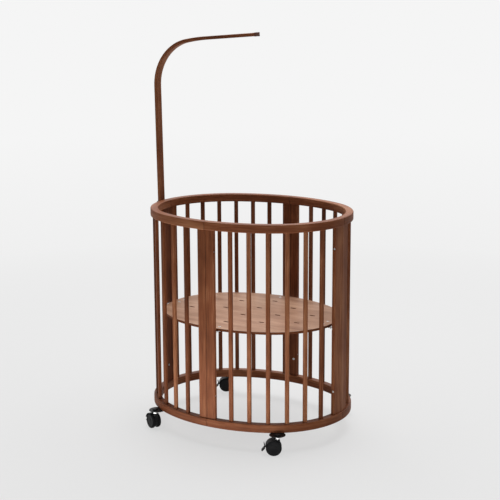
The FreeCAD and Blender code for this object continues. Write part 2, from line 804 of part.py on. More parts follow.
threadedInsert = turnedBody("InsertPattern", [
    ("screwRadius + threadClearance", "-insertLength"),
    ("insertRadius", "-insertLength"),
    ("insertRadius", "0"),
    ("screwRadius + threadClearance", "0"),
])
insertCopies = []
for seat in boardSeats:
    mouth = Vector(0, 0, number("lowerInsertHeight"))
    insertCopies.append((threadedInsert.Shape, seat * Placement(mouth, inward)))
subParts.append(group("lower_inserts", insertCopies))


# ---- drape rod ----
rod = newBody("drape_rod")
path = newSketch(rod, "XZ_Plane", "Path")
straight = number("rodStraight")
bendRadius = number("rodBendRadius")
crownRadius = number("rodCrownRadius")
bendTurn = math.radians(number("rodBendTurn"))
wholeTurn = math.radians(number("rodTurn"))
bendCentre = Vector(bendRadius, straight, 0)
bendEnd = bendCentre + Vector(-bendRadius * math.cos(bendTurn), bendRadius * math.sin(bendTurn), 0)
crownCentre = bendEnd + Vector(crownRadius * math.cos(bendTurn), -crownRadius * math.sin(bendTurn), 0)
crownEnd = crownCentre + Vector(-crownRadius * math.cos(wholeTurn), crownRadius * math.sin(wholeTurn), 0)
armEnd = crownEnd + Vector(math.sin(wholeTurn), math.cos(wholeTurn), 0) * number("rodArm")
path.addGeometry([
    Part.LineSegment(Vector(0, 0, 0), Vector(0, straight, 0)),
    Part.ArcOfCircle(Part.Circle(bendCentre, Vector(0, 0, 1), bendRadius), math.pi - bendTurn, math.pi),
    Part.ArcOfCircle(
        Part.Circle(crownCentre, Vector(0, 0, 1), crownRadius), math.pi - wholeTurn, math.pi - bendTurn
    ),
    Part.LineSegment(crownEnd, armEnd),
])
path.addConstraint([
    Sketcher.Constraint("Coincident", 0, 1, -1, 1),
    Sketcher.Constraint("Vertical", 0),
    Sketcher.Constraint("Tangent", 0, 2, 1, 2),
    Sketcher.Constraint("Tangent", 1, 1, 2, 2),
    Sketcher.Constraint("Tangent", 2, 1, 3, 1),
])
for constraint, formula in (
    (Sketcher.Constraint("Distance", 0, straight), "rodStraight"),
    (Sketcher.Constraint("Radius", 1, bendRadius), "rodBendRadius"),
    (Sketcher.Constraint("Angle", 1, bendTurn), "rodBendTurn * 1 deg"),
    (Sketcher.Constraint("Radius", 2, crownRadius), "rodCrownRadius"),
    (Sketcher.Constraint("Angle", 2, wholeTurn - bendTurn), "rodCrownTurn * 1 deg"),
    (Sketcher.Constraint("Distance", 3, number("rodArm")), "rodArm"),
):
    index = path.addConstraint(constraint)
    bind(path, f"Constraints[{index}]", formula)
strip = newSketch(rod, "XY_Plane", "Strip")
polygon(strip, easedRectangle(
    "-rodThickness / 2", "rodThickness / 2", "-rodWidth / 2", "rodWidth / 2", "rodRound", 2, "rodRound", 2
))
pipe = addFeature(rod, "AdditivePipe", "BentStrip")
pipe.Profile = strip
pipe.Spine = (path, [])
document.recompute()
rod.Placement = Placement(
    Vector(-number("rodOffset"), 0, number("rodFoot")),
    Rotation(Vector(0, 1, 0), -number("rodLean")),
)
subParts.append(rod)

# sleeve over the tip, in a frame whose X runs out along the arm
cap = newBody("rod_tip_cap")
shell = newSketch(cap, "YZ_Plane", "Shell", "capEnd")
halfWide = "(rodWidth / 2 + capWall)"
halfThick = "(rodThickness / 2 + capWall)"
polygon(shell, easedRectangle(
    f"-{halfWide}", halfWide, f"-{halfThick}", halfThick, "rodRound", 2, "rodRound", 2
))
pad(cap, shell, "capLength", reverse=True)
hollow = newSketch(cap, "YZ_Plane", "Hollow")
halfWide = "(rodWidth / 2 + threadClearance)"
halfThick = "(rodThickness / 2 + threadClearance)"
polygon(hollow, easedRectangle(
    f"-{halfWide}", halfWide, f"-{halfThick}", halfThick, "rodRound", 2, "rodRound", 2
))
pocket(cap, hollow, "capLength")
tip = Placement(
    Vector(number("tipX"), 0, number("tipZ")),
    Rotation(Vector(0, 1, 0), number("rodTurn") - 90),
)
cap.Placement = rod.Placement * tip
subParts.append(cap)


# ---- rod holder ----
holder = newBody("rod_holder")
half = "(rodWidth / 2 + holderClearance + holderWall)"
front = "(rodOffset + rodThickness / 2 + holderClearance + holderWall - endCentre)"
back = "((endMiddle + boardThickness / 2) / cos(endTurn))"
ears = newSketch(holder, "XY_Plane", "Ears", "holderFoot")
earCorners = [
    (f"{back} - earReach * sin(endTurn)", "earReach * cos(endTurn)"),
    (
        f"{back} - earReach * sin(endTurn) + earThickness * cos(endTurn)",
        "earReach * cos(endTurn) + earThickness * sin(endTurn)",
    ),
    (f"{back} + earThickness / cos(endTurn) - {half} * tan(endTurn)", half),
    (front, half),
]
lowerCorners = [(x, f"-({y})") for x, y in reversed(earCorners)]
polygon(ears, [(back, "0")] + earCorners + lowerCorners)
pad(holder, ears, "topRailFoot - holderUnderRail - holderFoot")
tower = newSketch(holder, "XY_Plane", "Tower", "topRailFoot - holderUnderRail")
polygon(tower, rectangle("endRadius + holderGap", front, f"-{half}", half))
pad(holder, tower, "holderTop - topRailFoot + holderUnderRail")
frontFace = number("rodOffset") + number("rodThickness") / 2 + number("holderWall") - endCentre
dressEdges(
    holder, "Fillet", "holderRound",
    lambda edge: upright(edge) and edge.BoundBox.XMin > frontFace - 1,
)
socket = addFeature(holder, "SubtractiveBox", "Socket")
bind(socket, "Length", "rodThickness + 2 * holderClearance")
bind(socket, "Width", "rodWidth + 2 * holderClearance")
bind(socket, "Height", "holderTop - rodFoot + 10")
lean = Rotation(Vector(0, 1, 0), number("rodLean"))
corner = Vector(
    -number("rodThickness") / 2 - number("holderClearance"),
    -number("rodWidth") / 2 - number("holderClearance"),
    0,
)
foot = Vector(number("rodOffset") - endCentre, 0, number("rodFoot"))
socket.Placement = Placement(foot, lean) * Placement(corner, Rotation())
document.recompute()
holderFrame = seamFrame("end", 180)
outerFace = number("endMiddle") + number("boardThickness") / 2
holderScrewSeats = []
for side in (1, -1):
    turn = about(side * number("endTurn"))
    seat = turn.multVec(Vector(outerFace + number("earThickness"), 0, number("holderScrewHeight")))
    outward = turn.multVec(Vector(1, 0, 0))
    bore(
        holder, "woodScrewRadius + drillClearance", "earThickness + 2",
        seat + outward, outward * -1,
    )
    holderScrewSeats.append(holderFrame * Placement(seat, Rotation(Vector(0, 0, 1), outward)))
holder.Placement = holderFrame
subParts.append(holder)


holderScrew = screwBody(
    "HolderScrewPattern", "woodScrewRadius", "earThickness + holderScrewLength", "woodScrewHead",
    "woodScrewHeadHeight",
)
subParts.append(group("rod_holder_screws", [(holderScrew.Shape, seat) for seat in holderScrewSeats]))


# ---- casters ----
def plateBody(label):
    """Plate under the rail with the swivel disc and its boss; X runs out across the rail."""
    body = newBody(label)
    disc = newSketch(body, "XZ_Plane", "Disc")
    polygon(disc, [
        ("-discInset", "bottomRailFoot"),
        ("-discInset", "discFoot"),
        ("discFlat - discInset", "discFoot"),
        ("discRadius - discInset", "bottomRailFoot - discRim"),
        ("discRadius - discInset", "bottomRailFoot - discBevel"),
        ("discRadius - discBevel - discInset", "bottomRailFoot"),
    ])
    axisLine(disc, ("-discInset", "discFoot"), ("-discInset", "bottomRailFoot"))
    revolution(body, disc, "Axis0")
    flange = newSketch(body, "XY_Plane", "Flange", "plateFoot")
    polygon(flange, [
        ("-discInset", "-flangeNear"),
        ("-discInset", "flangeNear"),
        ("-(flangeReach - flangeFar * 0.4)", "flangeFar"),
        ("-flangeReach", "flangeFar * 0.6"),
        ("-flangeReach", "-flangeFar * 0.6"),
        ("-(flangeReach - flangeFar * 0.4)", "-flangeFar"),
    ])
    pad(body, flange, "flangeThickness")
    boss = newSketch(body, "XY_Plane", "Boss", "discFoot")
    circle(boss, "0", "0", "bossRadius")
    pad(body, boss, "hubDrop + flangeThickness + bossRise")
    bossTop = number("bottomRailFoot") + number("bossRise")
    dressEdges(body, "Chamfer", "bossBevel", lambda edge: edge.BoundBox.ZMin > bossTop - 0.01)
    bore(
        body, "stemRadius + pinClearance", "stemTop + swivelGap",
        Vector(0, 0, number("discFoot")), Vector(0, 0, 1),
    )
    seats = newSketch(body, "XY_Plane", "ScrewSeats", "plateFoot")
    holes = newSketch(body, "XY_Plane", "ScrewHoles", "bottomRailFoot")
    for hand in (-1, 1):
        circle(seats, "-casterScrewReach", f"{hand} * casterScrewSpread", "woodScrewHead + drillClearance")
        circle(holes, "-casterScrewReach", f"{hand} * casterScrewSpread", "woodScrewRadius + drillClearance")
    pocket(body, seats, "hubDrop")
    pocket(body, holes, "flangeThickness")
    return body


def stemBody(label):
    return turnedBody(label, [
        ("0", "stemFoot"),
        ("stemRadius", "stemFoot"),
        ("stemRadius", "collarFoot"),
        ("collarRadius", "collarFoot"),
        ("collarRadius", "discFoot - swivelGap"),
        ("stemRadius", "discFoot - swivelGap"),
        ("stemRadius", "discFoot + stemTop"),
        ("0", "discFoot + stemTop"),
    ])


def hoodBody(label):
    """Hood between and over the twin wheels; X runs back along the trail to the axle."""
    body = newBody(label)
    neck = newSketch(body, "XY_Plane", "Neck", "collarFoot")
    polygon(neck, easedRectangle(
        "-neckHalf", "neckHalf", "-neckHalf", "neckHalf", "neckHalf * 0.4", 2, "neckHalf * 0.4", 2
    ))
    pad(body, neck, "collarFoot - wheelRadius", reverse=True)
    crown = newSketch(body, "YZ_Plane", "Crown", "wheelTrail")
    overhang = "(wheelOuter + hoodOverhang)"
    polygon(crown, rectangle(
        f"-{overhang}", overhang, "wheelRadius + hoodInner", "wheelRadius + hoodOuter"
    ))
    axisLine(crown, ("-wheelWidth", "wheelRadius"), ("wheelWidth", "wheelRadius"))
    shell = addFeature(body, "Revolution", "Shell")
    shell.Profile = crown
    shell.ReferenceAxis = (crown, ["Axis0"])
    shell.Type = "TwoAngles"
    bind(shell, "Angle", "hoodRear")
    bind(shell, "Angle2", "hoodFront")
    document.recompute()
    axle = Vector(number("wheelTrail"), 0, number("wheelRadius"))
    across = Vector(0, 1, 0)
    reach = number("wheelOuter") + number("hoodOverhang") + 1
    bore(body, "hoodInner", "2 * (wheelOuter + hoodOverhang + 1)", axle - across * reach, across)
    web = newSketch(body, "XZ_Plane", "Web")
    corners = [("-neckHalf", "collarFoot"), ("stemRadius", "collarFoot")]
    for turn in (80, 50, 25, 0, -30, -60, -90, -120, -150, 180, 155):
        reach = "hoodInner * 1.02" if turn in (80, 50) else "webRadius"
        corners.append((
            f"wheelTrail + {reach} * ({math.cos(math.radians(turn)):.6f})",
            f"wheelRadius + {reach} * ({math.sin(math.radians(turn)):.6f})",
        ))
    polygon(web, corners)
    pad(body, web, "webThickness", symmetric=True)
    inside = number("webThickness") / 2 + 1
    bore(body, "axleRadius + pinClearance", "webThickness + 2", axle - across * inside, across)
    bore(
        body, "stemRadius + threadClearance", "collarFoot - stemFoot + 20",
        Vector(0, 0, number("stemFoot") - number("jointClearance")), Vector(0, 0, 1),
    )
    slot = newSketch(body, "XZ_Plane", "LeverSlot")
    near = "(wheelTrail + leverPivotReach - leverPinRadius * 3)"
    low = "(wheelRadius - leverPivotRise * 2)"
    high = "(wheelRadius + leverPivotRise * 4)"
    polygon(slot, rectangle(near, "(wheelTrail + hoodOuter)", low, high))
    pocket(body, slot, "leverRootThickness + 2 * leverClearance", symmetric=True)
    pivot = axle + Vector(number("leverPivotReach"), 0, number("leverPivotRise"))
    bore(
        body, "leverPinRadius + pinClearance", "webThickness + 2",
        pivot - across * inside, across,
    )
    return body


def axleBody(label):
    """Axle pin across the hood, pressed into both wheels."""
    return turnedBody(label, [
        ("0", "-(wheelOuter - axleEnd)"),
        ("axleRadius", "-(wheelOuter - axleEnd)"),
        ("axleRadius", "wheelOuter - axleEnd"),
        ("0", "wheelOuter - axleEnd"),
    ])


def leverPoint(turn, lift):
    """Place in the lever's frame, by the turn from the top of the hood and the lift off it."""
    return (
        f"(hoodOuter + {lift}) * sin({turn}) - leverPivotReach",
        f"(hoodOuter + {lift}) * cos({turn}) - leverPivotRise",
    )


def leverBody(label):
    """Forked brake lever in a frame on its own pivot pin."""
    body = newBody(label)
    pedal = newSketch(body, "XZ_Plane", "Pedal")
    polygon(pedal, [
        leverPoint("leverHeadTurn", "leverHeadLift + leverThickness * 0.7"),
        leverPoint("leverWaistTurn", "leverWaistLift + leverThickness"),
        leverPoint("(leverHeelTurn - 8)", "leverWaistLift + leverThickness"),
        leverPoint("(leverToeTurn - 3)", "leverToeLift + leverThickness * 0.8"),
        leverPoint("leverToeTurn", "leverToeLift"),
        leverPoint("leverHeelTurn", "leverWaistLift"),
        leverPoint("leverWaistTurn", "leverWaistLift"),
        leverPoint("leverHeadTurn", "leverHeadLift"),
    ])
    pad(body, pedal, "leverWidth", symmetric=True)
    root = newSketch(body, "XZ_Plane", "Root")
    polygon(root, [
        ("-leverRootHalf * 0.8", "-leverRootHalf * 0.5"),
        ("-leverRootHalf * 0.3", "-leverRootHalf"),
        ("leverReach", "-leverRootHalf * 1.4"),
        ("leverReach", "leverRootHalf * 1.2"),
        ("-leverRootHalf * 0.3", "leverRootHalf"),
        ("-leverRootHalf * 0.8", "leverRootHalf * 0.5"),
    ])
    pad(body, root, "leverRootThickness", symmetric=True)
    pin = newSketch(body, "XZ_Plane", "Pin")
    circle(pin, "0", "0", "leverPinRadius")
    pad(body, pin, "webThickness - 2 * leverClearance", symmetric=True)
    return body


wheel = turnedBody("WheelPattern", [
    ("0", "wheelOuter - axleEnd"),
    ("axleRadius + threadClearance / 2", "wheelOuter - axleEnd"),
    ("axleRadius + threadClearance / 2", "wheelInner"),
    ("wheelRadius - treadBevel / 2", "wheelInner"),
    ("wheelRadius", "wheelInner + treadBevel"),
    ("wheelRadius", "wheelOuter - treadBevel * 1.3"),
    ("wheelRadius - treadBevel", "wheelOuter"),
    ("wheelRadius - treadRing", "wheelOuter"),
    ("wheelRadius - treadRing - wheelDish", "wheelOuter - wheelDish"),
    ("0", "wheelOuter - wheelDish"),
])
casterScrew = screwBody(
    "CasterScrewPattern", "woodScrewRadius", "flangeThickness + casterScrewLength", "woodScrewHead",
    "woodScrewHeadHeight",
)

# the quarter each caster stands under and the way its wheels trail
trails = {"front_right": 211.5, "front_left": 153.5, "back_left": 211.5, "back_right": 158.0}
sideways = Rotation(Vector(0, 0, 1), Vector(0, 1, 0))
casterScrewCopies = []
for quarter, sideX, sideY in quarters:
    swivel = Vector(sideX * number("casterX"), sideY * number("casterY"), 0)
    casterTurn = math.radians(number("casterTurn"))
    facing = math.degrees(math.atan2(sideY * math.sin(casterTurn), sideX * math.cos(casterTurn)))
    mount = about(facing, swivel.x, swivel.y)
    trailing = about(trails[quarter], swivel.x, swivel.y)
    plate = plateBody(f"caster_plate_{quarter}")
    plate.Placement = mount
    for hand in (-1, 1):
        seat = Vector(-number("casterScrewReach"), hand * number("casterScrewSpread"), number("plateFoot"))
        casterScrewCopies.append((casterScrew.Shape, mount * Placement(seat, Rotation(Vector(1, 0, 0), 180))))
    stem = stemBody(f"caster_stem_{quarter}")
    stem.Placement = trailing
    hood = hoodBody(f"caster_hood_{quarter}")
    hood.Placement = trailing
    axleHeight = Vector(number("wheelTrail"), 0, number("wheelRadius"))
    axlePin = axleBody(f"caster_axle_{quarter}")
    axlePin.Placement = trailing * Placement(axleHeight, sideways)
    lever = leverBody(f"brake_lever_{quarter}")
    pivot = Vector(number("leverPivotReach"), 0, number("leverPivotRise"))
    lever.Placement = trailing * Placement(axleHeight + pivot, Rotation())
    wheels = group(f"caster_wheels_{quarter}", [
        (wheel.Shape, trailing * Placement(axleHeight, sideways)),
        (wheel.Shape, trailing * Placement(axleHeight, Rotation(Vector(0, 0, 1), Vector(0, -1, 0)))),
    ])
    subParts.extend([plate, stem, hood, axlePin, lever, wheels])
subParts.append(group("caster_screws", casterScrewCopies))

document.recompute()
for item in document.Objects:
    if "Invalid" in item.State or "Error" in item.State:
        raise ValueError(f"{item.Label} did not build: {item.State}")
for item in subParts:
    if item.Shape.isNull() or not item.Shape.isValid():
        raise ValueError(f"{item.Label} has no sound shape")

os.makedirs("parts", exist_ok=True)
for item in subParts:
    item.Shape.exportStep(f"parts/{item.Label}.step")
print(f"{len(subParts)} sub-parts written")
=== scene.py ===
import json
import math

import bmesh
import bpy
import numpy as np
from mathutils import Matrix, Vector


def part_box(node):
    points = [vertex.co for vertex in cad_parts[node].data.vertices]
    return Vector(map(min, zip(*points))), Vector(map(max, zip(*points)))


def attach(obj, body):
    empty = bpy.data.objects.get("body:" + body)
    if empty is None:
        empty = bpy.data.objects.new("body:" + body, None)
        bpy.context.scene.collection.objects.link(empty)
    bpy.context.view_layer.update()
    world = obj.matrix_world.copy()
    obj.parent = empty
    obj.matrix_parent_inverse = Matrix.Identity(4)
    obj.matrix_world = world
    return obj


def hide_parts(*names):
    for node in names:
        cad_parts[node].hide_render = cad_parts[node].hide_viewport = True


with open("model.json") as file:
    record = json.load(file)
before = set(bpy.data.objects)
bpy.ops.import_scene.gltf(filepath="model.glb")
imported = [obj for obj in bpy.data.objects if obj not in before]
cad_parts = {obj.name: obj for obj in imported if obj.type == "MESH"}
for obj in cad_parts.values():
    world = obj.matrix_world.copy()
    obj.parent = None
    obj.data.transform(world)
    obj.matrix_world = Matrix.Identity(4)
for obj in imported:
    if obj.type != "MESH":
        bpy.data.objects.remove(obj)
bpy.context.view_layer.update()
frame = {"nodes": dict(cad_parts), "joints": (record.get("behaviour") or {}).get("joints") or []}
crib = frame["nodes"]

# the oval of rails: one arc round each end and a flatter one along each side
oval = {"endRadius": 0.311, "railWidth": 0.030}
halfLength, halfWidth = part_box("top_rail_back_right")[1][:2]
oval["endCentre"] = halfLength - oval["endRadius"]
oval["sideRadius"] = (oval["endCentre"] ** 2 + halfWidth**2 - oval["endRadius"] ** 2) / (
    2 * (halfWidth - oval["endRadius"])
)
oval["sideCentre"] = oval["sideRadius"] - halfWidth
oval["turn"] = math.atan2(oval["sideCentre"], oval["endCentre"])  # where the end arc becomes the side arc
print("crib loaded:", len(crib), "pieces")


def grey(value):
    return value, value, value, 1.0


def scaled(parts, share):
    return [part * share for part in parts]


# short ways to add shader nodes and join them
class Wiring:
    def __init__(self, tree):
        self.tree = tree

    def add(self, kind, settings=None, **sockets):
        made = self.tree.nodes.new(kind)
        for key, value in (settings or {}).items():
            setattr(made, key, value)
        for key, value in sockets.items():
            self.feed(made.inputs[key.replace("_", " ")], value)
        return made

    def feed(self, socket, value):
        if isinstance(value, bpy.types.NodeSocket):
            self.tree.links.new(value, socket)
        else:
            socket.default_value = value

    def maths(self, operation, *values):
        made = self.add("ShaderNodeMath", {"operation": operation})
        for socket, value in zip(made.inputs, values):
            self.feed(socket, value)
        return made.outputs[0]

    def choose(self, test, yes, no):
        made = self.add("ShaderNodeMix", {"data_type": "FLOAT"})
        for socket, value in ((0, test), (2, no), (3, yes)):
            self.feed(made.inputs[socket], value)
        return made.outputs[0]

    def blendColour(self, amount, first, second, mode="MIX"):
        made = self.add("ShaderNodeMix", {"data_type": "RGBA", "blend_type": mode})
        for socket, value in ((0, amount), (6, first), (7, second)):
            self.feed(made.inputs[socket], value)
        return made.outputs[2]

    def vector(self, x, y, z):
        return self.add("ShaderNodeCombineXYZ", X=x, Y=y, Z=z).outputs[0]

    def split(self, vector):
        made = self.add("ShaderNodeSeparateXYZ", Vector=vector)
        return made.outputs["X"], made.outputs["Y"], made.outputs["Z"]

    def length(self, x, y, z):
        made = self.add("ShaderNodeVectorMath", {"operation": "LENGTH"})
        self.feed(made.inputs[0], self.vector(x, y, z))
        return made.outputs["Value"]

    def noise(self, place, figure):
        made = self.add("ShaderNodeTexNoise", Vector=place, Scale=figure.get("scale", 1.0))
        made.inputs["Detail"].default_value = figure["detail"]
        made.inputs["Roughness"].default_value = figure["harshness"]
        return made.outputs["Fac"]

    def ramp(self, value, *stops):
        made = self.add("ShaderNodeValToRGB", Fac=value)
        bar = made.color_ramp
        while len(bar.elements) < len(stops):
            bar.elements.new(0.5)
        for element, (place, colour) in zip(bar.elements, stops):
            element.position = place
            element.color = (*colour[:3], 1.0)
        return made.outputs["Color"]

    def between(self, value, low, high):
        return self.add(
            "ShaderNodeMapRange", {"clamp": True}, Value=value, From_Min=low, From_Max=high
        ).outputs[0]

    def sway(self, value, noise, amount):
        offset = self.maths("MULTIPLY", self.maths("SUBTRACT", noise, 0.5), amount)
        return self.maths("ADD", value, offset)

    def mixShaders(self, amount, first, second):
        made = self.add("ShaderNodeMixShader", Fac=amount)
        self.feed(made.inputs[1], first.outputs[0])
        self.feed(made.inputs[2], second.outputs[0])
        return made.outputs[0]

    # 1 where the eye, a mirror or a glass sees the surface, 0 where it only lights something
    def seen(self):
        ray = self.add("ShaderNodeLightPath").outputs
        mirrored = self.maths("MAXIMUM", ray["Is Camera Ray"], ray["Is Glossy Ray"])
        return self.maths("MAXIMUM", mirrored, ray["Is Transmission Ray"])


# evenly holds the sockets that are the same all over the surface
def newMaterial(name, **evenly):
    material = bpy.data.materials.new(name)
    material.use_nodes = True
    material.node_tree.nodes.clear()
    wiring = Wiring(material.node_tree)
    shader = wiring.add("ShaderNodeBsdfPrincipled", **evenly)
    wiring.add("ShaderNodeOutputMaterial", Surface=shader.outputs[0])
    return material, wiring, shader


def ownPlace(wiring):
    return wiring.split(wiring.add("ShaderNodeTexCoord").outputs["Object"])


def facingUp(wiring):
    return wiring.split(wiring.add("ShaderNodeTexCoord").outputs["Normal"])[2]


def relief(wiring, shader, finish, height, edges=None):
    bump = wiring.add("ShaderNodeBump", Strength=finish["bump"], Distance=finish["bumpDepth"], Height=height)
    if edges is not None:
        wiring.feed(bump.inputs["Normal"], edges)
    wiring.feed(shader.inputs["Normal"], bump.outputs[0])


# walnut-stained beech, with the grain running along each kind of piece
stain = {
    "deep": (0.074, 0.020, 0.006),
    "middle": (0.170, 0.052, 0.019),
    "pale": (0.296, 0.125, 0.058),
    "baseDeep": (0.200, 0.096, 0.055),
    "baseMiddle": (0.325, 0.176, 0.110),
    "basePale": (0.440, 0.264, 0.175),
    "deepAt": 0.32,
    "middleAt": 0.50,
    "paleAt": 0.68,
    "band": {"across": 24.0, "along": 1.1, "detail": 2.0, "harshness": 0.45},
    "line": {"across": 420.0, "along": 9.0, "detail": 3.0, "harshness": 0.6},
    "fleck": {"across": 1700.0, "along": 340.0, "detail": 1.0, "harshness": 0.5},
    "blotch": {"across": 9.0, "along": 6.0, "detail": 3.0, "harshness": 0.55},
    "bandShare": 0.45,
    "lineShare": 0.55,
    "blotchShare": 0.35,
    "baseBlotchShare": 0.58,
    "slat": {"scale": 14.0, "detail": 1.0, "harshness": 0.4},
    "slatShare": 0.55,  # one slat differs a little from the next
    "baseFigure": 1.05,
    "poreFrom": 0.60,
    "poreTo": 0.72,
    "poreShare": 0.30,
    "poreTone": 0.75,
    "poreDepth": 0.6,
    "roughness": 0.57,
    "roughnessSway": 0.18,
    "specular": 0.11,
    "coat": 0.24,  # the lacquer lies thickest on faces that look up
    "coatFrom": 0.4,
    "coatTo": 0.95,
    "coatRoughness": 0.34,
    "bump": 0.14,
    "bumpDepth": 0.0004,
    "edgeRound": 0.0008,
    "edgeSamples": 4,
    "seamWidth": 0.0013,  # painted shade along each seam where the pieces meet
    "seamTone": 0.30,
    "plyLayer": 0.0019,
    "plyFacing": 0.6,
    "plyDeepAt": 0.35,
    "plyMiddleAt": 0.65,
}
rodShape = {"bendRadius": 0.180, "bendAt": 0.516, "thickness": 0.0135, "armFrom": 0.03}
quarterOffset = {"x": 2.3, "y": 5.1}  # keeps the grain of the four quarters apart


def alongUprights(wiring):
    x, y, z = ownPlace(wiring)
    return z, x, y


def alongOval(wiring):
    x, y, z = ownPlace(wiring)
    wide, deep = wiring.maths("ABSOLUTE", x), wiring.maths("ABSOLUTE", y)
    endX = wiring.maths("SUBTRACT", wide, oval["endCentre"])
    endAngle = wiring.maths("ARCTAN2", deep, endX)
    sideY = wiring.maths("ADD", deep, oval["sideCentre"])
    sideAngle = wiring.maths("ARCTAN2", wide, sideY)
    endMiddle = oval["endRadius"] - oval["railWidth"] / 2
    sideMiddle = oval["sideRadius"] - oval["railWidth"] / 2
    whole = endMiddle * oval["turn"] + sideMiddle * (math.pi / 2 - oval["turn"])
    onEnd = wiring.maths("LESS_THAN", endAngle, oval["turn"])
    length = wiring.choose(
        onEnd,
        wiring.maths("MULTIPLY", endAngle, endMiddle),
        wiring.maths("SUBTRACT", whole, wiring.maths("MULTIPLY", sideAngle, sideMiddle)),
    )
    depth = wiring.choose(
        onEnd,
        wiring.maths("SUBTRACT", oval["endRadius"], wiring.length(endX, deep, 0.0)),
        wiring.maths("SUBTRACT", oval["sideRadius"], wiring.length(wide, sideY, 0.0)),
    )
    apart = wiring.maths(
        "ADD",
        wiring.maths("MULTIPLY", wiring.maths("SIGN", x), quarterOffset["x"]),
        wiring.maths("MULTIPLY", wiring.maths("SIGN", y), quarterOffset["y"]),
    )
    return wiring.maths("ADD", length, apart), depth, z


# the rod's grain climbs the upright, turns with the bend and runs out along the arm
def alongRod(wiring):
    x, y, z = ownPlace(wiring)
    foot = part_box("drape_rod")[0]
    uprightX, bendZ = foot[0] + rodShape["thickness"] / 2, foot[2] + rodShape["bendAt"]
    fromX = wiring.maths("SUBTRACT", uprightX + rodShape["bendRadius"], x)
    fromZ = wiring.maths("SUBTRACT", z, bendZ)
    angle = wiring.maths("ARCTAN2", fromZ, fromX)
    inBend = wiring.maths("GREATER_THAN", fromZ, 0.0)
    onArm = wiring.maths("LESS_THAN", fromX, rodShape["armFrom"])
    bendLength = wiring.maths("ADD", wiring.maths("MULTIPLY", angle, rodShape["bendRadius"]), bendZ)
    bendDepth = wiring.maths("SUBTRACT", rodShape["bendRadius"], wiring.length(fromX, 0.0, fromZ))
    armDepth = wiring.maths("SUBTRACT", 0.0, z)
    uprightDepth = wiring.maths("SUBTRACT", x, uprightX)
    length = wiring.choose(inBend, wiring.choose(onArm, x, bendLength), z)
    depth = wiring.choose(inBend, wiring.choose(onArm, armDepth, bendDepth), uprightDepth)
    return length, depth, y


# paints shade into the colour in a narrow band round the planes x = 0 and y = 0, where the rail quarters and
# board pairs meet
def paintedSeamShade(wiring, colour):
    x, y, z = ownPlace(wiring)
    nearest = wiring.maths("MINIMUM", wiring.maths("ABSOLUTE", x), wiring.maths("ABSOLUTE", y))
    apart = wiring.between(nearest, 0.5 * stain["seamWidth"], stain["seamWidth"])
    dark = wiring.blendColour(1.0, colour, grey(stain["seamTone"]), "MULTIPLY")
    return wiring.blendColour(apart, dark, colour)


def plyEdges(wiring, colour, height):
    edge = wiring.maths("LESS_THAN", wiring.maths("ABSOLUTE", facingUp(wiring)), stain["plyFacing"])
    ply = wiring.maths("PINGPONG", wiring.maths("MULTIPLY", height, 1 / stain["plyLayer"]), 1.0)
    layers = wiring.ramp(ply, (stain["plyDeepAt"], stain["deep"]), (stain["plyMiddleAt"], stain["middle"]))
    return wiring.blendColour(edge, colour, layers)


def stainedWood(name, grain, slatShare=0.0, seamShade=False, plywood=False):
    material, wiring, shader = newMaterial(
        name, Specular_IOR_Level=stain["specular"], Coat_Roughness=stain["coatRoughness"]
    )
    along, across, through = grain(wiring)

    def figured(kind):
        figure = stain[kind]
        stretched = wiring.vector(
            wiring.maths("MULTIPLY", along, figure["along"]),
            wiring.maths("MULTIPLY", across, figure["across"]),
            wiring.maths("MULTIPLY", through, figure["across"]),
        )
        return wiring.noise(stretched, figure)

    bands, lines, flecks, blotches = [figured(kind) for kind in ("band", "line", "fleck", "blotch")]
    strength = stain["baseFigure"] if plywood else 1.0
    value = wiring.maths(
        "ADD",
        wiring.maths("MULTIPLY", bands, stain["bandShare"] * strength),
        wiring.maths("MULTIPLY", lines, stain["lineShare"] * strength),
    )
    value = wiring.sway(value, blotches, stain["baseBlotchShare"] if plywood else stain["blotchShare"])
    if slatShare:
        x, y, z = ownPlace(wiring)
        own = wiring.noise(wiring.vector(x, y, 0.0), stain["slat"])
        value = wiring.sway(value, own, slatShare)

    tones = ("baseDeep", "baseMiddle", "basePale") if plywood else ("deep", "middle", "pale")
    deep, middle, pale = [stain[tone] for tone in tones]
    colour = wiring.ramp(value, (stain["deepAt"], deep), (stain["middleAt"], middle), (stain["paleAt"], pale))
    pores = wiring.between(flecks, stain["poreFrom"], stain["poreTo"])
    stained = wiring.maths("MULTIPLY", pores, stain["poreShare"])
    colour = wiring.blendColour(stained, colour, (*scaled(deep, stain["poreTone"]), 1.0))
    # painted seam shade
    if seamShade:
        colour = paintedSeamShade(wiring, colour)
    if plywood:
        colour = plyEdges(wiring, colour, through)
    wiring.feed(shader.inputs["Base Color"], colour)

    roughness = wiring.sway(stain["roughness"], lines, stain["roughnessSway"])
    wiring.feed(shader.inputs["Roughness"], roughness)
    upward = wiring.between(facingUp(wiring), stain["coatFrom"], stain["coatTo"])
    wiring.feed(shader.inputs["Coat Weight"], wiring.maths("MULTIPLY", upward, stain["coat"]))
    height = wiring.maths("SUBTRACT", lines, wiring.maths("MULTIPLY", pores, stain["poreDepth"]))
    rounded = wiring.add("ShaderNodeBevel", {"samples": stain["edgeSamples"]}, Radius=stain["edgeRound"])
    relief(wiring, shader, stain, height, rounded.outputs[0])
    return material


railWood = stainedWood("railWood", alongOval, seamShade=True)
uprightWood = stainedWood("uprightWood", alongUprights, slatShare=stain["slatShare"], seamShade=True)
rodWood = stainedWood("rodWood", alongRod)
panelWood = stainedWood("panelWood", ownPlace, plywood=True)
print("stained wood ready")

